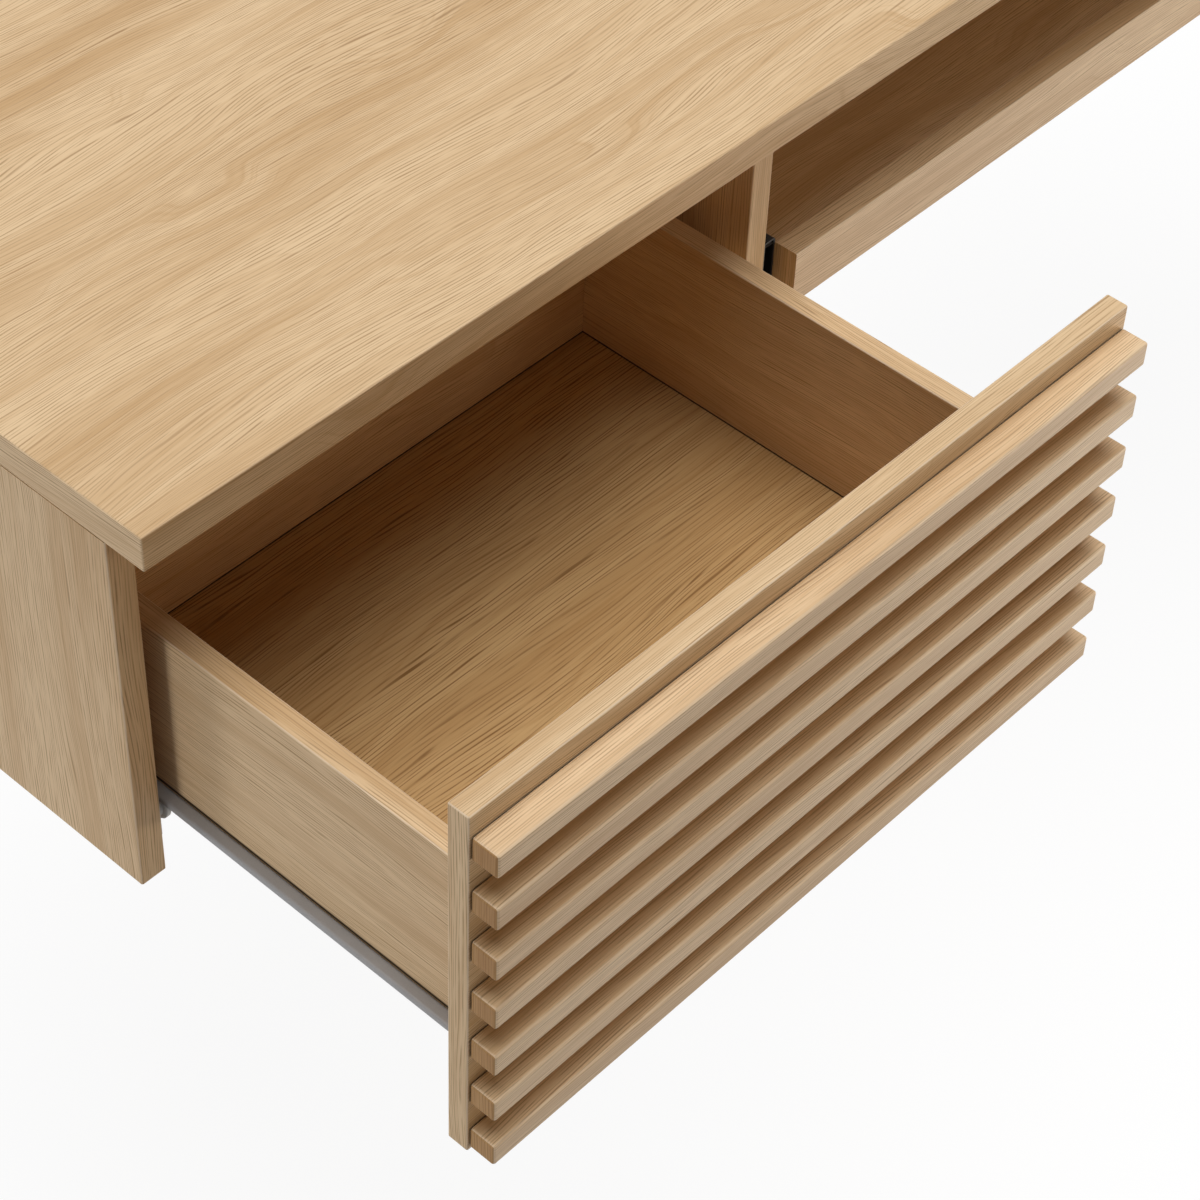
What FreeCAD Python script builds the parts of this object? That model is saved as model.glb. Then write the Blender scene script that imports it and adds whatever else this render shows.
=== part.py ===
import FreeCAD, Part
import os
from math import sin, tan

# Wall-mounted desk with two slatted drawers and a keyboard tray between them.
# X runs along the wall, Y from the room towards the wall and Z up.
# The origin is the centre of the wall screws, on the face that lies against the wall.
# The left drawer is drawn pulled out, the right drawer and the tray pushed in.
# Lengths are in millimetres.

# Carcass boards
desk_width = 1400.0
desk_depth = 480.0
top_thickness = 20.0
board_thickness = 15.0
side_height = 226.0
top_overhang = 25.0
drawer_bay_width = 405.0
edge_round = 1.0

# Wall screws, on a stud spacing
wall_hole_radius = 3.5
wall_hole_spacing = 406.4
wall_hole_rise = 150.0

# Drawer fronts and their slats
front_thickness = 12.0
front_top_gap = 2.0
front_drop = 2.0
front_reveal = 0.5
front_gap = 1.5
slat_count = 7
slat_height = 14.0
slat_depth = 15.0
slat_top_margin = 12.5
slat_bottom_margin = 2.5
slat_inset = 1.2
slat_round = 1.6

# Drawer boxes
drawer_board = 12.0
drawer_end_margin = 1.5
drawer_side_height = 115.0
drawer_lift = 32.0
bottom_thickness = 3.5
bottom_lift = 11.0
groove_depth = 5.0
groove_clearance = 0.1
groove_top_gap = 0.7
left_drawer_spare_travel = 30.0

# Roller slides under the drawers
slide_gap = 12.0
slide_length = 300.0
slide_overlap = 70.0
slide_steel = 1.2
bend_radius = 1.2
slide_setback = 2.0
runner_start = 0.5
flange_lift = 10.0
flange_reach = 7.6
lip_drop = 2.7
lip_clearance = 0.5
leg_setback = 1.0
runner_tab = 24.0
rail_top_clearance = 3.3
rail_base_clearance = 1.2
stop_depth = 2.5
stop_thickness = 2.0

# Rollers and the studs that carry them
roller_gap = 0.3
roller_setback = 10.5
roller_bevel = 0.6
front_roller_radius = 9.0
front_roller_clearance = 0.8
tread_clearance = 0.4
hub_clearance = 1.3
rear_roller_radius = 7.0
rear_roller_clearance = 1.2
stud_radius = 2.5
stud_head_radius = 4.0
stud_head_height = 0.5
running_clearance = 0.05
end_play = 0.1

# Keyboard tray
tray_drop = 102.0
fascia_height = 34.0
fascia_rise = 4.0
fascia_setback = 14.0

# Ball-bearing slides beside the tray
bearing_width = 12.7
bearing_height = 37.0
bearing_length = 300.0
bearing_setback = 1.0
bearing_steel = 1.2
outer_flange_clearance = 3.8
inner_flange_clearance = 1.8
lip_gap = 2.4
ball_radius = 2.05
ball_gap = 0.35
balls_per_cage = 4
ball_pitch = 24.0
cage_thickness = 1.0
cage_width = 5.4
cage_overhang = 8.0

# Fasteners and their holes
hole_clearance = 0.1
cam_radius = 7.5
cam_depth = 12.0
cam_drop = 24.0
cam_margin = 60.0
bolt_radius = 3.0
bolt_grip = 11.0
bolt_head_radius = 3.5
bolt_head_height = 3.0
bolt_bore_clearance = 0.3
dowel_radius = 3.0
dowel_half_length = 9.0
dowel_margin = 30.0
slide_screw_radius = 2.0
slide_screw_length = 10.0
slide_screw_head_radius = 3.8
slide_screw_head_height = 0.9
slide_screw_margin = 45.0
box_screw_radius = 2.0
box_screw_length = 40.0
box_screw_head_radius = 3.5
box_screw_head_height = 2.0
box_screw_margin = 22.0

# Places worked out from the sizes
half_width = desk_width / 2
front_y = -desk_depth
panel_front_y = front_y + top_overhang
back_front_y = -board_thickness
underside_z = side_height / 2
base_z = -side_height / 2
bay_outer_x = half_width - board_thickness
divider_outer_x = bay_outer_x - drawer_bay_width
divider_inner_x = divider_outer_x - board_thickness
front_closed_y = panel_front_y - front_gap
front_top_z = underside_z - front_top_gap
front_base_z = base_z - front_drop
slat_span = front_top_z - front_base_z - slat_top_margin - slat_bottom_margin - slat_height
slat_pitch = slat_span / (slat_count - 1)
drawer_base_z = base_z + drawer_lift
drawer_top_z = drawer_base_z + drawer_side_height
drawer_length = runner_start + slide_length + drawer_end_margin
drawer_travel = slide_length - slide_overlap
left_drawer_open = drawer_travel - left_drawer_spare_travel
flange_z = drawer_base_z + flange_lift
runner_leg = drawer_board - leg_setback
web_u = slide_gap - slide_steel
lip_inner_u = slide_gap - flange_reach + slide_steel
rail_top_flange = web_u - rail_top_clearance
rail_bottom_flange = web_u - rail_base_clearance
rail_front_y = panel_front_y + slide_setback
rail_top_z = flange_z - lip_drop - lip_clearance
rear_roller_z = rail_top_z - slide_steel - roller_gap - rear_roller_radius
rail_base_z = rear_roller_z - rear_roller_radius - roller_gap - slide_steel
stud_room = web_u - slide_steel - 2 * end_play - stud_head_height
front_roller_width = stud_room - front_roller_clearance
front_tread_width = slide_steel + end_play + front_roller_width - lip_inner_u - tread_clearance
front_hub_radius = front_roller_radius + roller_gap + slide_steel - lip_drop - hub_clearance
front_roller_z = flange_z - slide_steel - roller_gap - front_roller_radius
front_roller_y = rail_front_y + roller_setback
rear_roller_width = stud_room - slide_screw_head_height - rear_roller_clearance
rear_roller_closed_y = front_closed_y + runner_start + slide_length - roller_setback
stop_y = rear_roller_closed_y - drawer_travel - rear_roller_radius - roller_gap
tray_top_z = underside_z - tray_drop
tray_middle_z = tray_top_z - board_thickness / 2
fascia_front_y = front_y + fascia_setback
fascia_back_y = fascia_front_y + board_thickness
fascia_top_z = tray_top_z + fascia_rise
tray_end_x = divider_inner_x - bearing_width
bearing_front_y = panel_front_y + bearing_setback
ball_space = 2 * (ball_radius + ball_gap)
outer_flange = bearing_width - outer_flange_clearance
outer_lip = bearing_steel + ball_space - lip_gap
inner_flange = bearing_width - bearing_steel - inner_flange_clearance
inner_height = bearing_height - 2 * (bearing_steel + ball_space)
ball_z = inner_height / 2 + ball_space / 2
ball_u = outer_flange / 2
bolt_bore_radius = bolt_head_radius + bolt_bore_clearance

UP = FreeCAD.Vector(0, 0, 1)
DOWN = FreeCAD.Vector(0, 0, -1)
RIGHT = FreeCAD.Vector(1, 0, 0)
TO_WALL = FreeCAD.Vector(0, 1, 0)
TO_ROOM = FreeCAD.Vector(0, -1, 0)


def save(name, *shapes):
    """Write one node from its solids."""
    shape = shapes[0] if len(shapes) == 1 else Part.makeCompound(list(shapes))
    shape.exportStep("parts/" + name + ".step")


def block(x_span, y_span, z_span):
    """Square block between the limits on each axis."""
    low = FreeCAD.Vector(min(x_span), min(y_span), min(z_span))
    high = FreeCAD.Vector(max(x_span), max(y_span), max(z_span))
    size = high - low
    return Part.makeBox(size.x, size.y, size.z, low)


def board(x_span, y_span, z_span, along=None, radius=edge_round):
    """Board with banded, rounded edges: all of them, or only those along one axis."""
    body = block(x_span, y_span, z_span)
    edges = body.Edges
    if along is not None:
        edges = [edge for edge in edges if abs(edge.tangentAt(edge.FirstParameter).dot(along)) > 0.9]
    return body.makeFillet(radius, edges)


def rod(radius, length, start, direction):
    """Round bar from a point along a direction."""
    return Part.makeCylinder(radius, length, start, direction)


def shifted(points, sides, shift):
    """Path moved sideways by a distance, keeping its corners mitred."""
    moved = [points[0] + sides[0] * shift]
    for point, before, after in zip(points[1:], sides, sides[1:]):
        moved.append(point + (before + after) * (shift / (1 + before.dot(after))))
    moved.append(points[-1] + sides[-1] * shift)
    return moved


def rounded_path(points, radii):
    """Straight edges through the points, joined at each corner by a tangent arc."""
    edges = []
    start = points[0]
    for before, corner, after, radius in zip(points, points[1:], points[2:], radii):
        back = (before - corner).normalize()
        ahead = (after - corner).normalize()
        half_angle = back.getAngle(ahead) / 2
        inward = (back + ahead).normalize()
        entry = corner + back * (radius / tan(half_angle))
        leave = corner + ahead * (radius / tan(half_angle))
        middle = corner + inward * (radius / sin(half_angle) - radius)
        edges.append(Part.LineSegment(start, entry).toShape())
        edges.append(Part.Arc(entry, middle, leave).toShape())
        start = leave
    edges.append(Part.LineSegment(start, points[-1]).toShape())
    return edges


def folded_sheet(wall_x, inward, y_start, length, middle_line, thickness):
    """Folded sheet from its middle line, given as distances from an upright and heights."""
    points = [FreeCAD.Vector(wall_x + inward * u, y_start, z) for u, z in middle_line]
    runs = [(b - a).normalize() for a, b in zip(points, points[1:])]
    sides = [FreeCAD.Vector(-run.z, 0, run.x) for run in runs]
    turns = [1 if side.dot(run) > 0 else -1 for side, run in zip(sides, runs[1:])]
    half = thickness / 2
    first = shifted(points, sides, half)
    second = shifted(points, sides, -half)
    first_radii = [bend_radius - turn * half for turn in turns]
    second_radii = [bend_radius + turn * half for turn in turns]
    edges = rounded_path(first, first_radii)
    edges.append(Part.LineSegment(first[-1], second[-1]).toShape())
    edges += rounded_path(second[::-1], second_radii[::-1])
    edges.append(Part.LineSegment(second[0], first[0]).toShape())
    return Part.Face(Part.Wire(edges)).extrude(TO_WALL * length)


def slide_screw(seat, direction):
    """Pan-head screw standing on its seat, and the hole that it needs."""
    head_top = seat - direction * slide_screw_head_height
    head = rod(slide_screw_head_radius, slide_screw_head_height, head_top, direction)
    shank = rod(slide_screw_radius, slide_screw_length, seat, direction)
    hole = rod(slide_screw_radius + hole_clearance, slide_screw_length + hole_clearance, seat, direction)
    return head.fuse(shank), hole


def box_screw(surface, direction):
    """Screw whose head is sunk flush with a surface, and the stepped hole that it needs."""
    head = rod(box_screw_head_radius, box_screw_head_height, surface, direction)
    shank = rod(box_screw_radius, box_screw_length, surface, direction)
    head_hole = rod(box_screw_head_radius + hole_clearance, box_screw_head_height, surface, direction)
    shank_hole = rod(box_screw_radius + hole_clearance, box_screw_length + hole_clearance, surface, direction)
    return head.fuse(shank), head_hole.fuse(shank_hole)


def dowel(joint, direction):
    """Dowel half in each board at a joint, and the hole through both."""
    half_hole = dowel_half_length + hole_clearance
    peg = rod(dowel_radius, 2 * dowel_half_length, joint - direction * dowel_half_length, direction)
    hole = rod(dowel_radius + hole_clearance, 2 * half_hole, joint - direction * half_hole, direction)
    return peg, hole


def cam_fitting(joint, normal):
    """Cam disc and bolt that draw an upright board to the desktop, then the holes in both boards."""
    centre = joint + DOWN * cam_drop
    face = centre + normal * (board_thickness / 2)
    bore_start = centre + DOWN * hole_clearance
    bolt_bore = rod(bolt_bore_radius, cam_drop + hole_clearance, bore_start, UP)
    disc = rod(cam_radius, cam_depth, face - normal * cam_depth, normal).cut(bolt_bore)
    bolt = rod(bolt_radius, cam_drop + bolt_grip, centre, UP)
    bolt = bolt.fuse(rod(bolt_head_radius, bolt_head_height, centre, UP))
    cam_bore_depth = cam_depth + hole_clearance
    cam_bore = rod(cam_radius + hole_clearance, cam_bore_depth, face - normal * cam_bore_depth, normal)
    top_hole = rod(bolt_radius + hole_clearance, bolt_grip + hole_clearance, joint, UP)
    return disc, bolt, cam_bore.fuse(bolt_bore), top_hole


def ball_cages(side):
    """Upper and lower strip of balls between the members of one tray slide."""
    wall_x = side * divider_inner_x
    middle_y = bearing_front_y + bearing_length / 2
    ball_span = (balls_per_cage - 1) * ball_pitch
    strip_half = ball_span / 2 + cage_overhang
    inner_u = ball_u - cage_width / 2
    outer_u = ball_u + cage_width / 2
    solids = []
    for z in (tray_middle_z + ball_z, tray_middle_z - ball_z):
        x_span = (wall_x - side * inner_u, wall_x - side * outer_u)
        y_span = (middle_y - strip_half, middle_y + strip_half)
        strip = block(x_span, y_span, (z - cage_thickness / 2, z + cage_thickness / 2))
        for i in range(balls_per_cage):
            place = FreeCAD.Vector(wall_x - side * ball_u, middle_y - ball_span / 2 + i * ball_pitch, z)
            hole_start = place - UP * cage_thickness
            strip = strip.cut(rod(ball_radius + hole_clearance, 2 * cage_thickness, hole_start, UP))
            solids.append(Part.makeSphere(ball_radius, place))
        solids.append(strip)
    return solids


def bearing_slide(side):
    """Outer and inner member of one tray slide, on the divider at the given side."""
    wall_x = side * divider_inner_x
    half = bearing_steel / 2
    outer_top = bearing_height / 2 - half
    lip_end = bearing_height / 2 - outer_lip
    lip_u = outer_flange - half
    outer_line = [(lip_u, lip_end), (lip_u, outer_top), (half, outer_top)]
    outer_line += [(u, -z) for u, z in reversed(outer_line)]
    inner_top = inner_height / 2 - half
    inner_line = [(bearing_width - inner_flange, inner_top), (bearing_width - half, inner_top)]
    inner_line += [(u, -z) for u, z in reversed(inner_line)]
    members = []
    for line, y_start in ((outer_line, bearing_front_y), (inner_line, fascia_back_y)):
        raised = [(u, z + tray_middle_z) for u, z in line]
        members.append(folded_sheet(wall_x, -side, y_start, bearing_length, raised, bearing_steel))
    return members


def drawer_rail(wall_x, inward):
    """Fixed channel of a roller slide, with the front roller's stud and a stop for the rear roller."""
    half = slide_steel / 2
    line = [(rail_top_flange, rail_top_z - half), (half, rail_top_z - half)]
    line += [(half, rail_base_z + half), (rail_bottom_flange, rail_base_z + half)]
    rail = folded_sheet(wall_x, inward, rail_front_y, slide_length, line, slide_steel)
    notch_x = (wall_x + inward * slide_steel, wall_x + inward * slide_gap)
    notch_end = front_roller_y + front_roller_radius + stop_thickness
    rail = rail.cut(block(notch_x, (rail_front_y, notch_end), (rail_base_z, rail_top_z)))
    stop_x = (wall_x + inward * half, wall_x + inward * rail_top_flange)
    stop_top_z = rail_top_z - slide_steel
    stop = block(stop_x, (stop_y - stop_thickness, stop_y), (stop_top_z - stop_depth, stop_top_z))
    stud_start = FreeCAD.Vector(wall_x + inward * half, front_roller_y, front_roller_z)
    stud_length = half + front_roller_width + 2 * end_play
    stud = rod(stud_radius, stud_length + stud_head_height, stud_start, RIGHT * inward)
    head_start = stud_start + RIGHT * (inward * stud_length)
    head = rod(stud_head_radius, stud_head_height, head_start, RIGHT * inward)
    return rail.fuse([stop, stud, head]).removeSplitter()


def front_roller(wall_x, inward):
    """Stepped roller at the front of a rail: the tread carries the runner's flange beside its lip."""
    start = FreeCAD.Vector(wall_x + inward * (slide_steel + end_play), front_roller_y, front_roller_z)
    axis = RIGHT * inward
    tread_start = start + axis * (front_roller_width - front_tread_width)
    tread = rod(front_roller_radius, front_tread_width, tread_start, axis)
    rims = [edge for edge in tread.Edges if edge.Curve.TypeId == "Part::GeomCircle"]
    tread = tread.makeChamfer(roller_bevel, rims)
    hub = rod(front_hub_radius, front_roller_width, start, axis)
    bore = rod(stud_radius + running_clearance, front_roller_width, start, axis)
    return tread.fuse(hub).removeSplitter().cut(bore)


def runner(wall_x, inward, front_back_y):
    """Moving member of a roller slide, folded round the lower corner of a drawer side."""
    half = slide_steel / 2
    lip_u = lip_inner_u - half
    line = [(lip_u, flange_z - lip_drop), (lip_u, flange_z - half), (slide_gap - half, flange_z - half)]
    line += [(slide_gap - half, drawer_base_z - half), (slide_gap + runner_leg, drawer_base_z - half)]
    start_y = front_back_y + runner_start
    end_y = start_y + slide_length
    member = folded_sheet(wall_x, inward, start_y, slide_length, line, slide_steel)
    tab_base_z = rear_roller_z - stud_head_radius
    tab_x = (wall_x + inward * web_u, wall_x + inward * slide_gap)
    tab = block(tab_x, (end_y - runner_tab, end_y), (tab_base_z, flange_z - bend_radius - slide_steel))
    cross_edges = [edge for edge in tab.Edges if edge.BoundBox.XLength > half]
    corners = [edge for edge in cross_edges if edge.BoundBox.YLength < half]
    corners = [edge for edge in corners if edge.BoundBox.ZMax < rear_roller_z]
    tab = tab.makeFillet(stud_head_radius, corners)
    stud_length = rear_roller_width + 2 * end_play
    axis = RIGHT * -inward
    stud_start = FreeCAD.Vector(wall_x + inward * (slide_gap - half), end_y - roller_setback, rear_roller_z)
    stud = rod(stud_radius, half + stud_length + stud_head_height, stud_start, axis)
    head = rod(stud_head_radius, stud_head_height, stud_start + axis * (half + stud_length), axis)
    return member.fuse([tab, stud, head]).removeSplitter()


def rear_roller(wall_x, inward, front_back_y):
    """Roller at the back of a runner, running inside the rail's channel."""
    y = front_back_y + runner_start + slide_length - roller_setback
    start = FreeCAD.Vector(wall_x + inward * (web_u - end_play), y, rear_roller_z)
    axis = RIGHT * -inward
    wheel = rod(rear_roller_radius, rear_roller_width, start, axis)
    rims = [edge for edge in wheel.Edges if edge.Curve.TypeId == "Part::GeomCircle"]
    wheel = wheel.makeChamfer(roller_bevel, rims)
    return wheel.cut(rod(stud_radius + running_clearance, rear_roller_width, start, axis))


def make_drawer(name, bay_left_x, bay_right_x, opened):
    """One drawer with its slatted front, box, runners and rear rollers."""
    back_of_front_y = front_closed_y - opened
    face_y = back_of_front_y - front_thickness
    box_end_y = back_of_front_y + drawer_length
    left_x = bay_left_x + slide_gap
    right_x = bay_right_x - slide_gap
    inner_left_x = left_x + drawer_board
    inner_right_x = right_x - drawer_board
    height = (drawer_base_z, drawer_top_z)
    front_x = (bay_left_x - board_thickness + front_reveal, bay_right_x + board_thickness - front_reveal)
    front = board(front_x, (face_y, back_of_front_y), (front_base_z, front_top_z))
    left_side = board((left_x, inner_left_x), (back_of_front_y, box_end_y), height, TO_WALL)
    right_side = board((inner_right_x, right_x), (back_of_front_y, box_end_y), height, TO_WALL)
    back = board((inner_left_x, inner_right_x), (box_end_y - drawer_board, box_end_y), height, RIGHT)
    panel_base_z = drawer_base_z + bottom_lift
    panel_x = (inner_left_x - groove_depth, inner_right_x + groove_depth)
    panel_y = (back_of_front_y - groove_depth, box_end_y - drawer_board + groove_depth)
    panel = block(panel_x, panel_y, (panel_base_z, panel_base_z + bottom_thickness))
    groove_x = (panel_x[0] - groove_clearance, panel_x[1] + groove_clearance)
    groove_y = (panel_y[0] - groove_clearance, panel_y[1] + groove_clearance)
    groove_z = (panel_base_z - groove_clearance, panel_base_z + bottom_thickness + groove_top_gap)
    groove = block(groove_x, groove_y, groove_z)
    dowels = []
    screws = []
    runners = []
    rollers = []
    sides = []
    front_holes = [groove]
    back_holes = [groove]
    left_hand = (left_side, left_x, bay_left_x, 1)
    right_hand = (right_side, right_x, bay_right_x, -1)
    for side, x, wall_x, inward in (left_hand, right_hand):
        side_holes = [groove]
        middle_x = x + inward * drawer_board / 2
        member = runner(wall_x, inward, back_of_front_y)
        for z in (drawer_base_z + box_screw_margin, drawer_top_z - box_screw_margin):
            peg, hole = dowel(FreeCAD.Vector(middle_x, back_of_front_y, z), TO_WALL)
            dowels.append(peg)
            front_holes.append(hole)
            screw, screw_hole = box_screw(FreeCAD.Vector(x, box_end_y - drawer_board / 2, z), RIGHT * inward)
            screws.append(screw)
            back_holes.append(screw_hole)
            side_holes += [hole, screw_hole]
        runner_y = back_of_front_y + runner_start
        for y in (runner_y + slide_screw_margin, runner_y + slide_length - slide_screw_margin):
            screw, hole = slide_screw(FreeCAD.Vector(middle_x, y, drawer_base_z - slide_steel), UP)
            screws.append(screw)
            side_holes.append(hole)
            member = member.cut(hole)
        sides.append(side.cut(side_holes))
        runners.append(member)
        rollers.append(rear_roller(wall_x, inward, back_of_front_y))
    save(name + "_drawer_front", front.cut(front_holes))
    slat_x = (front_x[0] + slat_inset, front_x[1] - slat_inset)
    for i in range(slat_count):
        slat_top_z = front_top_z - slat_top_margin - i * slat_pitch
        slat_z = (slat_top_z - slat_height, slat_top_z)
        slat = board(slat_x, (face_y - slat_depth, face_y), slat_z, radius=slat_round)
        save(name + "_drawer_slat_" + str(i + 1), slat)
    save(name + "_drawer_left_side", sides[0])
    save(name + "_drawer_right_side", sides[1])
    save(name + "_drawer_back", back.cut(back_holes))
    save(name + "_drawer_bottom", panel)
    save(name + "_drawer_left_runner", runners[0])
    save(name + "_drawer_right_runner", runners[1])
    save(name + "_drawer_dowels", *dowels)
    save(name + "_drawer_screws", *screws)
    save(name + "_rear_rollers", *rollers)


def make_carcass():
    """Desktop, uprights, back board and the fixed members of the slides."""
    height = (base_z, underside_z)
    desktop = board((-half_width, half_width), (front_y, 0), (underside_z, underside_z + top_thickness))
    back = board((-bay_outer_x, bay_outer_x), (back_front_y, 0), height, RIGHT)
    desktop_holes = []
    back_holes = []
    discs = []
    bolts = []
    pegs = []
    screws = []
    cages = []
    for x in (-1.5, -0.5, 0.5, 1.5):
        for z in (-0.5, 0.5):
            start = FreeCAD.Vector(x * wall_hole_spacing, back_front_y, z * wall_hole_rise)
            back_holes.append(rod(wall_hole_radius, board_thickness, start, TO_WALL))
    bay_middle_x = (bay_outer_x + divider_outer_x) / 2
    for x in (-bay_middle_x, 0, bay_middle_x):
        joint = FreeCAD.Vector(x, back_front_y / 2, underside_z)
        disc, bolt, board_hole, top_hole = cam_fitting(joint, TO_ROOM)
        discs.append(disc)
        bolts.append(bolt)
        back_holes.append(board_hole)
        desktop_holes.append(top_hole)
    uprights = {}
    for name, side in (("left", -1), ("right", 1)):
        inner = RIGHT * -side
        side_x = (side * bay_outer_x, side * half_width)
        divider_x = (side * divider_inner_x, side * divider_outer_x)
        panel = board(side_x, (panel_front_y, 0), height, UP)
        divider = board(divider_x, (panel_front_y, back_front_y), height, UP)
        panel_row = ("side_panel", panel, side_x, 0)
        divider_row = ("divider", divider, divider_x, back_front_y)
        for key, upright, span, rear_y in (panel_row, divider_row):
            middle_x = sum(span) / 2
            holes = []
            for y in (panel_front_y + cam_margin, rear_y - cam_margin):
                joint = FreeCAD.Vector(middle_x, y, underside_z)
                disc, bolt, board_hole, top_hole = cam_fitting(joint, inner)
                discs.append(disc)
                bolts.append(bolt)
                holes.append(board_hole)
                desktop_holes.append(top_hole)
            peg, hole = dowel(FreeCAD.Vector(middle_x, (panel_front_y + rear_y) / 2, underside_z), UP)
            pegs.append(peg)
            holes.append(hole)
            desktop_holes.append(hole)
            for z in (base_z + dowel_margin, underside_z - 2 * dowel_margin):
                if key == "side_panel":
                    peg, hole = dowel(FreeCAD.Vector(side * bay_outer_x, back_front_y / 2, z), RIGHT)
                else:
                    peg, hole = dowel(FreeCAD.Vector(middle_x, back_front_y, z), TO_WALL)
                pegs.append(peg)
                holes.append(hole)
                back_holes.append(hole)
            uprights[name + "_" + key] = upright.cut(holes)
        rollers = []
        panel_wall = (name + "_side_panel", side * bay_outer_x, -side)
        divider_wall = (name + "_divider", side * divider_outer_x, side)
        for upright_name, wall_x, inward in (panel_wall, divider_wall):
            rail = drawer_rail(wall_x, inward)
            for y in (rail_front_y + slide_screw_margin, rail_front_y + slide_length - slide_screw_margin):
                seat = FreeCAD.Vector(wall_x + inward * slide_steel, y, rear_roller_z)
                screw, hole = slide_screw(seat, RIGHT * -inward)
                screws.append(screw)
                rail = rail.cut(hole)
                uprights[upright_name] = uprights[upright_name].cut(hole)
            hand = "left" if inward > 0 else "right"
            save(name + "_bay_" + hand + "_rail", rail)
            rollers.append(front_roller(wall_x, inward))
        save(name + "_front_rollers", *rollers)
        outer = bearing_slide(side)[0]
        bearing_end_y = bearing_front_y + bearing_length
        for y in (bearing_front_y + slide_screw_margin, bearing_end_y - slide_screw_margin):
            seat = FreeCAD.Vector(side * (divider_inner_x - bearing_steel), y, tray_middle_z)
            screw, hole = slide_screw(seat, RIGHT * side)
            screws.append(screw)
            outer = outer.cut(hole)
            uprights[name + "_divider"] = uprights[name + "_divider"].cut(hole)
        save("tray_" + name + "_outer_slide", outer)
        cages += ball_cages(side)
    save("desktop", desktop.cut(desktop_holes))
    save("back_board", back.cut(back_holes))
    for name, upright in uprights.items():
        save(name, upright)
    save("cam_discs", *discs)
    save("cam_bolts", *bolts)
    save("carcass_dowels", *pegs)
    save("slide_screws", *screws)
    save("tray_ball_cages", *cages)


def make_tray():
    """Keyboard tray with its fascia and the inner members of its slides."""
    ends = (-tray_end_x, tray_end_x)
    tray_y = (fascia_back_y, fascia_back_y + bearing_length)
    tray = board(ends, tray_y, (tray_top_z - board_thickness, tray_top_z), RIGHT)
    fascia_z = (fascia_top_z - fascia_height, fascia_top_z)
    fascia = board(ends, (fascia_front_y, fascia_back_y), fascia_z, RIGHT)
    pegs = []
    screws = []
    for x in (-tray_end_x + cam_margin, 0, tray_end_x - cam_margin):
        peg, hole = dowel(FreeCAD.Vector(x, fascia_back_y, tray_middle_z), TO_WALL)
        pegs.append(peg)
        tray = tray.cut(hole)
        fascia = fascia.cut(hole)
    for name, side in (("left", -1), ("right", 1)):
        member = bearing_slide(side)[1]
        for y in (fascia_back_y + slide_screw_margin, fascia_back_y + bearing_length - slide_screw_margin):
            seat = FreeCAD.Vector(side * (tray_end_x + bearing_steel), y, tray_middle_z)
            screw, hole = slide_screw(seat, RIGHT * -side)
            screws.append(screw)
            member = member.cut(hole)
            tray = tray.cut(hole)
        save("tray_" + name + "_inner_slide", member)
    save("keyboard_tray", tray)
    save("tray_fascia", fascia)
    save("fascia_dowels", *pegs)
    save("tray_screws", *screws)


os.makedirs("parts", exist_ok=True)
make_carcass()
make_tray()
make_drawer("left", -bay_outer_x, -divider_outer_x, left_drawer_open)
make_drawer("right", divider_outer_x, bay_outer_x, 0.0)
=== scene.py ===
import bpy
from bpy.props import FloatProperty, FloatVectorProperty, PointerProperty
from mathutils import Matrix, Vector


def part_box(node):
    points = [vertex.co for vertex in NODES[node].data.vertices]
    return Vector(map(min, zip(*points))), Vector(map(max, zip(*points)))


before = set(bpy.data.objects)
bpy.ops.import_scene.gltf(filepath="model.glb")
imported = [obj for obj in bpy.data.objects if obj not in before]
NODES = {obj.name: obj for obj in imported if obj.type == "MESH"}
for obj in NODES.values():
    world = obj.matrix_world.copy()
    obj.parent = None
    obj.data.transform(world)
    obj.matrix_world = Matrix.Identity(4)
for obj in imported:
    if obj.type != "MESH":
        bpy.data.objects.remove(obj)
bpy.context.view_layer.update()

bl_info = {
    "name": "Wall desk finishes",
    "version": (1, 0, 0),
    "blender": (4, 5, 0),
    "location": "View3D > Sidebar > Desk",
    "description": "Oak laminate, slide steel, rollers and studio for the wall-mounted desk",
    "category": "Object",
}

TOP_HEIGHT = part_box("desktop")[1].z
MM_PER_METRE = 1000.0
SIDES = ("left", "right")
WHITE = (1.0, 1.0, 1.0)

# Painted shade lines in the joints of the drawers, in millimetres: how deep the joints lie, then how wide
# each line of painted shade fades
GROOVE_DEPTH = 5.0
GROOVE_FADE = 0.7
CREVICE_DEPTH = 0.5
CREVICE_FADE = 0.5
RUNNER_FADE_BELOW = 0.6
RUNNER_GAP = 0.6
RUNNER_FADE_ABOVE = 1.6

# Grain patterns of the oak: lengths along the grain and widths across it, in millimetres
SWAY_LENGTH = 260.0
SWAY_WIDTH = 70.0
RIPPLE_LENGTH = 70.0
RIPPLE_WIDTH = 18.0
KNOT_LENGTH = 110.0
KNOT_WIDTH = 45.0
DRIFT_LENGTH = 400.0
DRIFT_WIDTH = 70.0
FIBRE_LENGTH = 120.0
JITTER_LENGTH = 90.0

# Sideways reach of a ripple and of a knot, in millimetres, and of the jitter, in rows of pores
RIPPLE_REACH = 1.4
KNOT_REACH = 10.0
JITTER_REACH = 2.5

# Widths of the flames in growth bands, and of the finer patterns in rows of pores
FLAME_SHARE = 0.45
FIBRE_SHARE = 0.6
JITTER_SHARE = 3.0
BREAK_SHARE = 1.2

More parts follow.
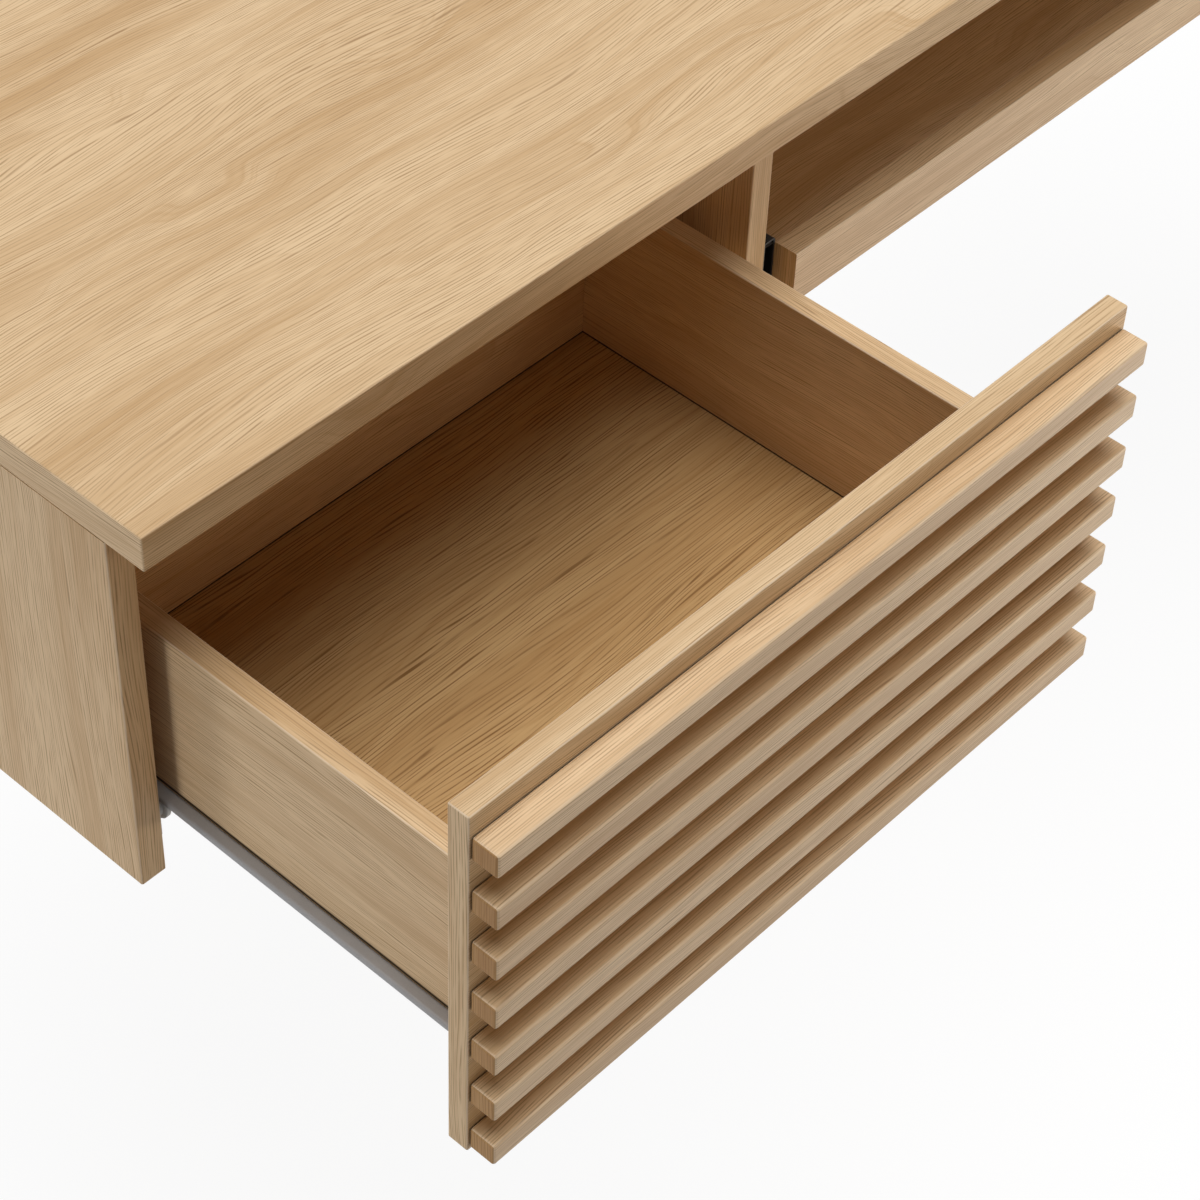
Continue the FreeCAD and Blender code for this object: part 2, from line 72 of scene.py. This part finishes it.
# Each pattern is cut from its own layer of the noise, and a board's depth moves on through the layers
LAYERS = {
    "sway": 0.0,
    "ripple": 4.0,
    "bands": 9.0,
    "flames": 13.0,
    "fibres": 17.0,
    "jitter": 21.0,
    "breaks": 25.0,
    "drift": 29.0,
    "knots": 33.0,
}
LAYERS_PER_MM = 0.05
MIDDLE = 0.5

# Where each pattern starts and is full
BAND_RISE = (0.36, 0.66)
FLAME_RISE = (0.0, 0.07)
KNOT_RISE = (0.56, 0.80)
HAIR_RISE = (0.05, 0.24)
BREAK_RISE = (0.26, 0.60)
TONE_RISE = (-0.15, 1.0)
# The rise of the rounded corners' painted highlight: where it starts and where it is full
CORNER_HIGHLIGHT_RISE = (0.02, 0.16)
FACING = 0.7

# What each pattern adds to the darker tone of the wood
BASE_TONE = 0.14
BAND_TONE = 0.34
FLAME_TONE = 0.18
FIBRE_TONE = 0.55
DRIFT_TONE = 1.30
PORES_LOST_IN_BANDS = 0.45

# What the pores and fibres add to the roughness and the relief of the laminate
PORE_ROUGHNESS = 0.16
FIBRE_ROUGHNESS = 0.10
FIBRE_RELIEF = 0.2
OAK_RELIEF_STRENGTH = 0.25
OAK_RELIEF = 0.0002

# Mottle of the coated and moulded surfaces
CLOUD_SCALE = 0.06
MOTTLE_SHARE = 0.6
CLOUD_SHARE = 0.4
MOTTLE_RISE = (0.3, 0.7)
MOTTLE_ROUGHNESS = 0.12
CLOUD_ROUGHNESS = 0.10
MOTTLE_RELIEF_STRENGTH = 0.3

# Start of each board's own piece of the decor
DECOR_STARTS = {
    "desktop": 33.3,
    "uprights": 11.7,
    "back": 17.3,
    "fronts": 23.9,
    "slats": 31.4,
    "drawer_sides": 37.2,
    "drawer_backs": 43.6,
    "drawer_bottoms": 47.8,
    "tray": 53.5,
    "fascia": 59.1,
}

# Studio light: the sun's spread in radians and its direction, then each lamp's place and target in metres
SUN_SPREAD = 0.95
SUN_DIRECTION = (-0.10, -0.04, -1.0)
FRONT_LAMP = {"size": 1.0, "place": (0.6, -3.2, 1.25), "target": (-0.3, -0.5, 0.0)}
RIGHT_LAMP = {"size": 0.4, "place": (0.55, -1.45, -0.42), "target": (-0.2, -0.55, 0.0)}
LEFT_LAMP = {"size": 0.5, "place": (-2.6, -0.455, -0.25), "target": (-0.69, -0.455, -0.02)}
REAR_LAMP = {"size": 0.55, "place": (-1.97, 1.26, -0.33), "target": (-0.69, -0.5, -0.02)}


def colour(name, description, default):
    """Colour property in linear light."""
    return FloatVectorProperty(
        name=name, description=description, default=default, subtype="COLOR", size=3, min=0.0, max=1.0
    )


def millimetres(name, description, default):
    """Size property of the printed grain."""
    return FloatProperty(name=name, description=description + ", in millimetres", default=default, min=0.01)


def share(name, description, default):
    """Strength property from nothing to full."""
    return FloatProperty(
        name=name, description=description, default=default, subtype="FACTOR", min=0.0, max=1.0
    )


def power(name, description, default):
    """Power property of a lamp."""
    return FloatProperty(name=name, description=description, default=default, unit="POWER", min=0.0)


class OakLook(bpy.types.PropertyGroup):
    """Light oak decor of the boards."""

    pale: colour("Pale wood", "Lightest wood between the growth bands", (0.80, 0.585, 0.355))
    warm: colour("Warm wood", "Darker wood in the growth bands", (0.575, 0.365, 0.18))
    pore: colour("Pores", "Printed pores along the grain", (0.30, 0.16, 0.065))
    # Painted highlight on the rounded corners, partly the lighter trimmed edge band
    corner_highlight: colour("Corners", "Trimmed corner of the edge band", (0.92, 0.76, 0.58))
    # Painted shade: near-black colour for the lines where the drawer joints and crevices lie in shade
    joint: colour("Joints", "Dark line in the joints of the drawers", (0.035, 0.018, 0.008))
    lining: colour("Lining", "Tint of the darker decor on the drawer bottoms", (0.73, 0.65, 0.485))
    end_grain: colour("Slat ends", "Tint of the cut slat ends", (0.64, 0.50, 0.32))
    band_width: millimetres("Band width", "Width of one growth band", 13.0)
    band_length: millimetres("Band length", "Length over which a band changes", 300.0)
    pore_spacing: millimetres("Pore spacing", "Space between rows of pores", 1.5)
    pore_length: millimetres("Pore length", "Length of one pore", 20.0)
    wander: millimetres("Wander", "Sideways wander of the grain", 12.0)
    pore_strength: share("Pore strength", "How dark the pores are", 0.68)
    roughness: share("Roughness", "Roughness of the laminate", 0.46)
    gloss: share("Gloss", "Strength of the laminate's reflections", 0.2)
    sheen: share("Sheen", "Clear coat on the slats and the fascia", 0.6)


class MetalLook(bpy.types.PropertyGroup):
    """Steel and plastic of the slides and fasteners."""

    enamel: colour("Grey enamel", "Powder coat of the roller slides", (0.36, 0.355, 0.36))
    black: colour("Black coat", "Coat of the tray slides", (0.012, 0.012, 0.013))
    nylon: colour("Nylon", "Rollers", (0.66, 0.65, 0.63))
    zinc: colour("Zinc", "Plated screws and cams", (0.62, 0.61, 0.58))
    bright: colour("Bright steel", "Bearing balls", (0.66, 0.66, 0.67))
    beech: colour("Beech", "Raw dowels", (0.60, 0.42, 0.25))


class StageLook(bpy.types.PropertyGroup):
    """Studio round the desk."""

    desk_height: FloatProperty(
        name="Desk height",
        description="Height of the work surface above the floor",
        default=0.75,
        unit="LENGTH",
    )
    floor_size: FloatProperty(
        name="Floor size", description="Side of the square floor", default=14.0, unit="LENGTH"
    )
    floor: colour("Floor", "Matt floor", (0.28, 0.28, 0.28))
    floor_shadow: share("Floor shadow", "How much of the shadow on the floor shows", 0.07)
    overhead: FloatProperty(name="Overhead light", description="Strength of the soft top light", default=2.85)
    front_fill: power("Front fill", "Weak light from the front and above", 11.0)
    right_fill: power("Right fill", "Reflected light from the right front", 4.8)
    fill_tint: colour("Fill tint", "Colour of the light from the front and the right", (1.0, 0.90, 0.76))
    left_fill: power("Left fill", "Reflected light from the left", 8.4)
    rear_fill: power("Rear fill", "Reflected light from behind on the left", 9.0)
    ambient: share("Ambient", "Light from all round", 0.02)
    lens: FloatProperty(
        name="Lens", description="Focal length of the camera", default=94.937, unit="CAMERA"
    )
    camera_place: FloatVectorProperty(
        name="Camera place",
        description="Place of the camera",
        default=(-1.27138, -1.22661, 1.05229),
        subtype="TRANSLATION",
        unit="LENGTH",
        size=3,
    )
    camera_turn: FloatVectorProperty(
        name="Camera turn",
        description="Turn of the camera",
        default=(0.773242, -0.032748, -0.822968),
        subtype="EULER",
        unit="ROTATION",
        size=3,
    )


class DeskLooks(bpy.types.PropertyGroup):
    """All that a user would change on the desk."""

    oak: PointerProperty(type=OakLook, name="Oak", description="Boards")
    metal: PointerProperty(type=MetalLook, name="Metal", description="Slides and fasteners")
    stage: PointerProperty(type=StageLook, name="Stage", description="Floor, lights and camera")


class Value:
    """Number socket whose operators add Math nodes."""

    def __init__(self, graph, socket):
        self.graph = graph
        self.socket = socket

    def __add__(self, other):
        return self.graph.math("ADD", self, other)

    def __radd__(self, other):
        return self.graph.math("ADD", other, self)

    def __sub__(self, other):
        return self.graph.math("SUBTRACT", self, other)

    def __rsub__(self, other):
        return self.graph.math("SUBTRACT", other, self)

    def __mul__(self, other):
        return self.graph.math("MULTIPLY", self, other)

    def __rmul__(self, other):
        return self.graph.math("MULTIPLY", other, self)

    def __truediv__(self, other):
        return self.graph.math("DIVIDE", self, other)

    def __gt__(self, other):
        return self.graph.math("GREATER_THAN", self, other)

    def __abs__(self):
        return self.graph.math("ABSOLUTE", self)


class Graph:
    """Nodes of one material or world."""

    def __init__(self, tree):
        self.tree = tree
        tree.nodes.clear()

    def node(self, kind, settings, inputs):
        """New node of a type, with its settings made first and then the values or links of its sockets."""
        node = self.tree.nodes.new(kind)
        for key, setting in settings.items():
            setattr(node, key, setting)
        for key, value in inputs.items():
            if isinstance(value, Value):
                value = value.socket
            if isinstance(value, bpy.types.NodeSocket):
                self.tree.links.new(value, node.inputs[key])
            elif hasattr(value, "__len__") and len(value) == 3 and node.inputs[key].type == "RGBA":
                node.inputs[key].default_value = (*value, 1.0)
            else:
                node.inputs[key].default_value = value
        return node

    def math(self, operation, first, second=0.0):
        """Value of one Math node."""
        node = self.node("ShaderNodeMath", {"operation": operation}, {0: first, 1: second})
        return Value(self, node.outputs[0])

    def parts(self, vector):
        """Values of a vector's x, y and z."""
        split = self.node("ShaderNodeSeparateXYZ", {}, {0: vector})
        return {axis: Value(self, split.outputs[i]) for i, axis in enumerate("xyz")}

    def place(self):
        """Values of the place on the piece, in millimetres."""
        source = self.node("ShaderNodeTexCoord", {}, {})
        place = self.parts(source.outputs["Object"])
        return {axis: value * MM_PER_METRE for axis, value in place.items()}

    def noise(self, x, y, z, detail):
        """Smooth noise from 0 to 1 at a place."""
        place = self.node("ShaderNodeCombineXYZ", {}, {0: x, 1: y, 2: z})
        settings = {"noise_dimensions": "3D"}
        inputs = {"Vector": place.outputs[0], "Scale": 1.0, "Detail": detail}
        return Value(self, self.node("ShaderNodeTexNoise", settings, inputs).outputs[0])

    def step(self, value, low, high):
        """Smooth rise from 0 at one value to 1 at another."""
        settings = {"interpolation_type": "SMOOTHSTEP"}
        inputs = {"Value": value, "From Min": low, "From Max": high}
        return Value(self, self.node("ShaderNodeMapRange", settings, inputs).outputs[0])

    def blend(self, factor, first, second, mode="MIX"):
        """Colour between two colours."""
        settings = {"data_type": "RGBA", "blend_type": mode}
        return self.node("ShaderNodeMix", settings, {0: factor, 6: first, 7: second}).outputs[2]

    def mixed(self, factor, first, second):
        """Shader node between two shader nodes."""
        inputs = {0: factor, 1: first.outputs[0], 2: second.outputs[0]}
        return self.node("ShaderNodeMixShader", {}, inputs)

    def bump(self, height, strength, distance):
        """Normal that follows a height."""
        inputs = {"Strength": strength, "Distance": distance, "Height": height}
        return self.node("ShaderNodeBump", {}, inputs).outputs[0]

    def surface(self, inputs):
        """Principled surface as the material's output."""
        shader = self.node("ShaderNodeBsdfPrincipled", {}, inputs)
        self.node("ShaderNodeOutputMaterial", {}, {"Surface": shader.outputs[0]})


def new_material(name):
    """Material with an empty graph."""
    material = bpy.data.materials.new(name)
    material.use_nodes = True
    return material, Graph(material.node_tree)


def between(first, second, factor):
    """Value between two values."""
    return first + (second - first) * factor


def dress(material, names):
    """Give a material to the named nodes."""
    for name in names:
        slots = NODES[name].data.materials
        slots.clear()
        slots.append(material)


def grain_place(graph, grain, thickness):
    """Place on the decor of a board in millimetres, and masks of its cut ends and of its rounded corners,
    which get a painted highlight.

    Wide faces and long edges carry the board's own grain. The bands on the cut ends run along those ends.
    """
    width = next(axis for axis in "xyz" if axis not in (grain, thickness))
    source = graph.node("ShaderNodeTexCoord", {}, {})
    place = graph.place()
    facing = {axis: abs(value) for axis, value in graph.parts(source.outputs["Normal"]).items()}
    end = facing[grain] > FACING
    edge = facing[width] > FACING
    along = between(place[grain], place[width], end)
    across = between(between(place[width], place[thickness], edge), place[thickness], end)
    depth = between(between(place[thickness], place[width], edge), place[grain], end)
    flattest = graph.math("MAXIMUM", graph.math("MAXIMUM", facing["x"], facing["y"]), facing["z"])
    # Mask of the rounded corners that get the painted highlight
    corner_highlight = graph.step(1.0 - flattest, *CORNER_HIGHLIGHT_RISE)
    return along, across, depth, end, corner_highlight


def groove_shade(low, high):
    """Mask of painted shade on the border of a drawer bottom that lies in its grooves."""
    def mask(graph):
        place = graph.place()
        from_left = place["x"] - low.x * MM_PER_METRE
        from_right = high.x * MM_PER_METRE - place["x"]
        from_front = place["y"] - low.y * MM_PER_METRE
        from_back = high.y * MM_PER_METRE - place["y"]
        nearest = from_left
        for inset in (from_right, from_front, from_back):
            nearest = graph.math("MINIMUM", nearest, inset)
        return 1.0 - graph.step(nearest, GROOVE_DEPTH, GROOVE_DEPTH + GROOVE_FADE)
    return mask


def slat_crevice_shade(back):
    """Mask of painted shade in the crevice where a slat meets the drawer front behind it."""
    def mask(graph):
        before_back = back * MM_PER_METRE - graph.place()["y"]
        return 1.0 - graph.step(before_back, CREVICE_DEPTH, CREVICE_DEPTH + CREVICE_FADE)
    return mask


def runner_gap_shade(height):
    """Mask of painted shade in the thin slit of a drawer side above the flange of its runner."""
    def mask(graph):
        above = graph.place()["z"] - height * MM_PER_METRE
        rise = graph.step(above, -RUNNER_FADE_BELOW, 0.0)
        return rise * (1.0 - graph.step(above, RUNNER_GAP, RUNNER_GAP + RUNNER_FADE_ABOVE))
    return mask


def oak_finish(
    name, board, grain, thickness,
    wander=1.0, streaks=1.0, highlight_share=0.5, sheen=0.0, tint=None, end_tint=None, gap_shade=None,
):
    """Light oak laminate with its growth bands, pores, long veins and a painted highlight on its rounded
    corners.

    The board picks its piece of the decor. Wander and streaks stretch the grain, the highlight share paints a
    highlight on the rounded corners, sheen adds a clear coat, tint and end_tint colour the board and its cut
    ends, and the last argument is a function of the graph that masks painted shade lines in the joints.
    """
    look = looks().oak
    material, graph = new_material(name)
    along, across, depth, end, corner_highlight = grain_place(graph, grain, thickness)
    layer = depth * LAYERS_PER_MM + DECOR_STARTS[board]

    def pattern(layer_name, length, offset, width, detail=1.0):
        """Noise stretched along the grain."""
        return graph.noise(along / length, offset / width, layer + LAYERS[layer_name], detail)

    sway = pattern("sway", SWAY_LENGTH, across, SWAY_WIDTH) - MIDDLE
    ripple = pattern("ripple", RIPPLE_LENGTH, across, RIPPLE_WIDTH) - MIDDLE
    knots = graph.step(pattern("knots", KNOT_LENGTH, across, KNOT_WIDTH, 0.0), *KNOT_RISE)
    drift = pattern("drift", DRIFT_LENGTH, across, DRIFT_WIDTH) - MIDDLE
    line = across + sway * (2.0 * look.wander * wander) + ripple * (RIPPLE_REACH * wander)

    ring = line + knots * (KNOT_REACH * wander)
    bands = pattern("bands", look.band_length, ring, look.band_width, 1.5)
    flames = pattern("flames", look.band_length, ring, FLAME_SHARE * look.band_width, 0.0)
    late = graph.step(bands, *BAND_RISE)
    flame_lines = 1.0 - graph.step(abs(flames - MIDDLE), *FLAME_RISE)

    fibres = pattern("fibres", FIBRE_LENGTH, line, FIBRE_SHARE * look.pore_spacing) - MIDDLE
    jitter = pattern("jitter", JITTER_LENGTH, line, JITTER_SHARE * look.pore_spacing)
    breaks = pattern("breaks", look.pore_length * streaks, line, BREAK_SHARE * look.pore_spacing)
    rows = graph.math("PINGPONG", line / (look.pore_spacing * streaks) + jitter * JITTER_REACH, 0.5)
    hair_lines = 1.0 - graph.step(rows, *HAIR_RISE)
    open_pores = hair_lines * graph.step(breaks, *BREAK_RISE) * (1.0 - late * PORES_LOST_IN_BANDS)

    tone = late * BAND_TONE + flame_lines * FLAME_TONE + fibres * FIBRE_TONE + drift * DRIFT_TONE + BASE_TONE
    wood = graph.blend(graph.step(tone, *TONE_RISE), look.pale, look.warm)
    wood = graph.blend(open_pores * min(look.pore_strength * streaks, 1.0), wood, look.pore)
    if tint:
        wood = graph.blend(1.0, wood, tint, "MULTIPLY")
    # Painted highlight on the rounded corners, partly the lighter trimmed edge band
    wood = graph.blend(corner_highlight * highlight_share, wood, look.corner_highlight)
    if end_tint:
        wood = graph.blend(end, wood, end_tint, "MULTIPLY")
    # Painted shade lines in the joints, grooves and crevices
    if gap_shade:
        wood = graph.blend(gap_shade(graph), wood, look.joint)

    inputs = {
        "Base Color": wood,
        "Roughness": look.roughness + open_pores * PORE_ROUGHNESS + fibres * FIBRE_ROUGHNESS,
        "Normal": graph.bump(fibres * FIBRE_RELIEF - open_pores, OAK_RELIEF_STRENGTH, OAK_RELIEF),
        "Specular IOR Level": look.gloss,
    }
    if sheen:
        inputs["Coat Weight"] = (1.0 - end) * sheen
        inputs["Coat Roughness"] = look.roughness
    graph.surface(inputs)
    return material


def speckled_finish(name, base, shade, roughness, grain_size, relief, metallic=0.0):
    """Coated or moulded surface with a fine mottle in colour, gloss and height."""
    material, graph = new_material(name)
    place = [value / grain_size for value in graph.place().values()]
    mottle = graph.noise(*place, 3.0)
    cloud = graph.noise(*[value * CLOUD_SCALE for value in place], 2.0)
    darker = tuple(channel * shade for channel in base)
    spread = graph.step(mottle * MOTTLE_SHARE + cloud * CLOUD_SHARE, *MOTTLE_RISE)
    rough = roughness + (mottle - MIDDLE) * MOTTLE_ROUGHNESS + (cloud - MIDDLE) * CLOUD_ROUGHNESS
    inputs = {
        "Base Color": graph.blend(spread, darker, tuple(base)),
        "Roughness": rough,
        "Metallic": metallic,
        "Normal": graph.bump(mottle, MOTTLE_RELIEF_STRENGTH, relief),
    }
    graph.surface(inputs)
    return material


def looks():
    """Settings of the open scene."""
    return bpy.context.scene.desk_looks


def ending(*ends):
    """Names of the nodes that end in these words."""
    return sorted(name for name in NODES if name.endswith(ends))


class FinishDesktop(bpy.types.Operator):
    """Oak decor on the desktop, its grain along the desk"""

    bl_idname = "desk.finish_desktop"
    bl_label = "Finish desktop"

    def execute(self, context):
        dress(oak_finish("desktop_oak", "desktop", "x", "z", wander=1.5, highlight_share=0.1), ["desktop"])
        return {"FINISHED"}


class FinishUprights(bpy.types.Operator):
    """Oak decor on the side panels and dividers, its grain upright, and on the back board"""

    bl_idname = "desk.finish_uprights"
    bl_label = "Finish uprights"

    def execute(self, context):
        dress(oak_finish("upright_oak", "uprights", "z", "x"), ending("_side_panel", "_divider"))
        dress(oak_finish("back_oak", "back", "x", "y"), ["back_board"])
        return {"FINISHED"}


class FinishDrawerFronts(bpy.types.Operator):
    """Oak decor on the drawer fronts and oak slats with darker cut ends"""

    bl_idname = "desk.finish_drawer_fronts"
    bl_label = "Finish drawer fronts"

    def execute(self, context):
        oak = looks().oak
        dress(oak_finish("front_oak", "fronts", "x", "y"), ending("_drawer_front"))
        for side in SIDES:
            slats = sorted(name for name in NODES if name.startswith(side + "_drawer_slat_"))
            # Painted shade in the crevice behind the slats
            joint = slat_crevice_shade(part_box(slats[0])[1].y)
            finish = oak_finish(
                side + "_slat_oak", "slats", "x", "y",
                wander=0.6, highlight_share=0.25, sheen=oak.sheen, end_tint=oak.end_grain, gap_shade=joint,
            )
            dress(finish, slats)
        return {"FINISHED"}


class FinishDrawerBoxes(bpy.types.Operator):
    """Oak decor on the sides, backs and bottoms of the drawers"""

    bl_idname = "desk.finish_drawer_boxes"
    bl_label = "Finish drawer boxes"

    def execute(self, context):
        flange_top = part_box("left_drawer_left_runner")[1].z
        # Painted shade in the narrow slit above the runner flange
        sides = oak_finish("drawer_side_oak", "drawer_sides", "y", "x", gap_shade=runner_gap_shade(flange_top))
        dress(sides, ending("_left_side", "_right_side"))
        dress(oak_finish("drawer_back_oak", "drawer_backs", "x", "y"), ending("_drawer_back"))
        for side in SIDES:
            bottom = side + "_drawer_bottom"
            # Painted shade on the border that lies in the grooves, so the slots show dark
            finish = oak_finish(
                bottom + "_oak", "drawer_bottoms", "x", "z",
                streaks=1.4, tint=looks().oak.lining, gap_shade=groove_shade(*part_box(bottom)),
            )
            dress(finish, [bottom])
        return {"FINISHED"}


class FinishTray(bpy.types.Operator):
    """Oak decor on the keyboard tray and its fascia"""

    bl_idname = "desk.finish_tray"
    bl_label = "Finish tray"

    def execute(self, context):
        dress(oak_finish("tray_oak", "tray", "x", "z"), ["keyboard_tray"])
        dress(oak_finish("fascia_oak", "fascia", "x", "y", sheen=looks().oak.sheen), ["tray_fascia"])
        return {"FINISHED"}


class FinishSlides(bpy.types.Operator):
    """Grey enamel on the roller slides, nylon on their rollers and black coat on the tray slides"""

    bl_idname = "desk.finish_slides"
    bl_label = "Finish slides"

    def execute(self, context):
        metal = looks().metal
        enamel = speckled_finish(
            "grey_enamel", metal.enamel, shade=0.90, roughness=0.42, grain_size=0.8, relief=0.00006
        )
        black = speckled_finish(
            "black_coat", metal.black, shade=0.70, roughness=0.55, grain_size=0.7, relief=0.00004
        )
        nylon = speckled_finish(
            "roller_nylon", metal.nylon, shade=0.92, roughness=0.48, grain_size=1.6, relief=0.00005
        )
        bright = speckled_finish(
            "bearing_steel", metal.bright,
            shade=0.93, roughness=0.22, grain_size=1.2, relief=0.00002, metallic=1.0,
        )
        dress(enamel, ending("_rail", "_runner"))
        dress(black, ending("_slide"))
        dress(nylon, ending("_rollers"))
        dress(bright, ["tray_ball_cages"])
        return {"FINISHED"}


class FinishFasteners(bpy.types.Operator):
    """Zinc plate on the screws and cams, raw beech on the dowels"""

    bl_idname = "desk.finish_fasteners"
    bl_label = "Finish fasteners"

    def execute(self, context):
        metal = looks().metal
        zinc = speckled_finish(
            "zinc_plate", metal.zinc,
            shade=0.84, roughness=0.34, grain_size=0.9, relief=0.00003, metallic=1.0,
        )
        beech = speckled_finish(
            "raw_beech", metal.beech, shade=0.80, roughness=0.62, grain_size=1.1, relief=0.00008
        )
        dress(zinc, ending("_screws", "cam_discs", "cam_bolts"))
        dress(beech, ending("_dowels"))
        return {"FINISHED"}


def shown_directly(graph):
    """Light Path mask of what the camera sees straight, mirrored or through glass."""
    path = graph.node("ShaderNodeLightPath", {}, {})
    seen = Value(graph, path.outputs["Is Camera Ray"]) + Value(graph, path.outputs["Is Glossy Ray"])
    seen = seen + Value(graph, path.outputs["Is Transmission Ray"])
    return graph.math("MINIMUM", seen, 1.0)


def add_floor(stage):
    """Floor that shows as white, keeps a soft shadow of the desk and is clear from below."""
    half = stage.floor_size / 2
    height = TOP_HEIGHT - stage.desk_height
    mesh = bpy.data.meshes.new("floor")
    corners = [(-half, -half, height), (half, -half, height), (half, half, height), (-half, half, height)]
    mesh.from_pydata(corners, [], [(0, 1, 2, 3)])
    floor = bpy.data.objects.new("floor", mesh)
    bpy.context.scene.collection.objects.link(floor)
    material, graph = new_material("floor_white")
    matt = graph.node("ShaderNodeBsdfDiffuse", {}, {"Color": stage.floor})
    pale = graph.node("ShaderNodeBsdfDiffuse", {}, {"Color": WHITE})
    white = graph.node("ShaderNodeEmission", {}, {"Color": WHITE, "Strength": 1.0})
    clear = graph.node("ShaderNodeBsdfTransparent", {}, {})
    below = graph.node("ShaderNodeNewGeometry", {}, {}).outputs["Backfacing"]
    shown = graph.mixed(1.0 - stage.floor_shadow, pale, white)
    floored = graph.mixed(shown_directly(graph), matt, shown)
    seen = graph.mixed(below, floored, clear)
    graph.node("ShaderNodeOutputMaterial", {}, {"Surface": seen.outputs[0]})
    mesh.materials.append(material)


def add_world(stage):
    """White surroundings for the eye and for gloss, and a little light from all round."""
    world = bpy.data.worlds.new("studio")
    world.use_nodes = True
    bpy.context.scene.world = world
    graph = Graph(world.node_tree)
    dim = graph.node("ShaderNodeBackground", {}, {"Color": WHITE, "Strength": stage.ambient})
    white = graph.node("ShaderNodeBackground", {}, {"Color": WHITE, "Strength": 1.0})
    seen = graph.mixed(shown_directly(graph), dim, white)
    graph.node("ShaderNodeOutputWorld", {}, {"Surface": seen.outputs[0]})


def add_light(name, light, direction, place=(0.0, 0.0, 0.0)):
    """Light that shines along a direction."""
    lamp = bpy.data.objects.new(name, light)
    lamp.location = place
    lamp.rotation_euler = direction.to_track_quat("-Z", "Y").to_euler()
    bpy.context.scene.collection.objects.link(lamp)


def add_sun(name, strength):
    """Wide soft light from above."""
    light = bpy.data.lights.new(name, "SUN")
    light.energy = strength
    light.angle = SUN_SPREAD
    add_light(name, light, Vector(SUN_DIRECTION))


def add_softbox(name, watts, tint, size, place, target):
    """Square lamp aimed from a place at a target."""
    light = bpy.data.lights.new(name, "AREA")
    light.color = tint
    light.energy = watts
    light.size = size
    add_light(name, light, Vector(target) - Vector(place), place)


def add_camera(stage):
    """Camera at the viewing angle of the picture."""
    lens = bpy.data.cameras.new("camera")
    lens.lens = stage.lens
    camera = bpy.data.objects.new("camera", lens)
    camera.location = stage.camera_place
    camera.rotation_euler = stage.camera_turn
    bpy.context.scene.collection.objects.link(camera)
    bpy.context.scene.camera = camera


class BuildStage(bpy.types.Operator):
    """Pale floor, soft studio light and the camera"""

    bl_idname = "desk.build_stage"
    bl_label = "Build stage"

    def execute(self, context):
        stage = looks().stage
        add_floor(stage)
        add_world(stage)
        add_sun("overhead_light", stage.overhead)
        add_softbox("front_light", stage.front_fill, stage.fill_tint, **FRONT_LAMP)
        add_softbox("right_light", stage.right_fill, stage.fill_tint, **RIGHT_LAMP)
        add_softbox("left_light", stage.left_fill, WHITE, **LEFT_LAMP)
        add_softbox("rear_light", stage.rear_fill, WHITE, **REAR_LAMP)
        add_camera(stage)
        bpy.context.scene.view_settings.view_transform = "Standard"
        return {"FINISHED"}


OPERATORS = (
    FinishDesktop,
    FinishUprights,
    FinishDrawerFronts,
    FinishDrawerBoxes,
    FinishTray,
    FinishSlides,
    FinishFasteners,
    BuildStage,
)


class DeskPanel(bpy.types.Panel):
    """Steps and settings of the desk"""

    bl_idname = "VIEW3D_PT_desk"
    bl_label = "Wall desk"
    bl_space_type = "VIEW_3D"
    bl_region_type = "UI"
    bl_category = "Desk"

    def draw(self, context):
        for group in (looks().oak, looks().metal, looks().stage):
            box = self.layout.box()
            for key in group.__annotations__:
                box.prop(group, key)
        for operator in OPERATORS:
            self.layout.operator(operator.bl_idname)


CLASSES = (OakLook, MetalLook, StageLook, DeskLooks, *OPERATORS, DeskPanel)


def register():
    """Add the classes and the desk's settings."""
    for item in CLASSES:
        bpy.utils.register_class(item)
    bpy.types.Scene.desk_looks = PointerProperty(type=DeskLooks, name="Desk", description="Looks of the desk")


def unregister():
    """Take the settings and the classes away again."""
    del bpy.types.Scene.desk_looks
    for item in reversed(CLASSES):
        bpy.utils.unregister_class(item)


def main():
    """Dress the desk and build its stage."""
    register()
    bpy.ops.desk.finish_desktop()
    bpy.ops.desk.finish_uprights()
    bpy.ops.desk.finish_drawer_fronts()
    bpy.ops.desk.finish_drawer_boxes()
    bpy.ops.desk.finish_tray()
    bpy.ops.desk.finish_slides()
    bpy.ops.desk.finish_fasteners()
    bpy.ops.desk.build_stage()


if __name__ == "__main__":
    main()
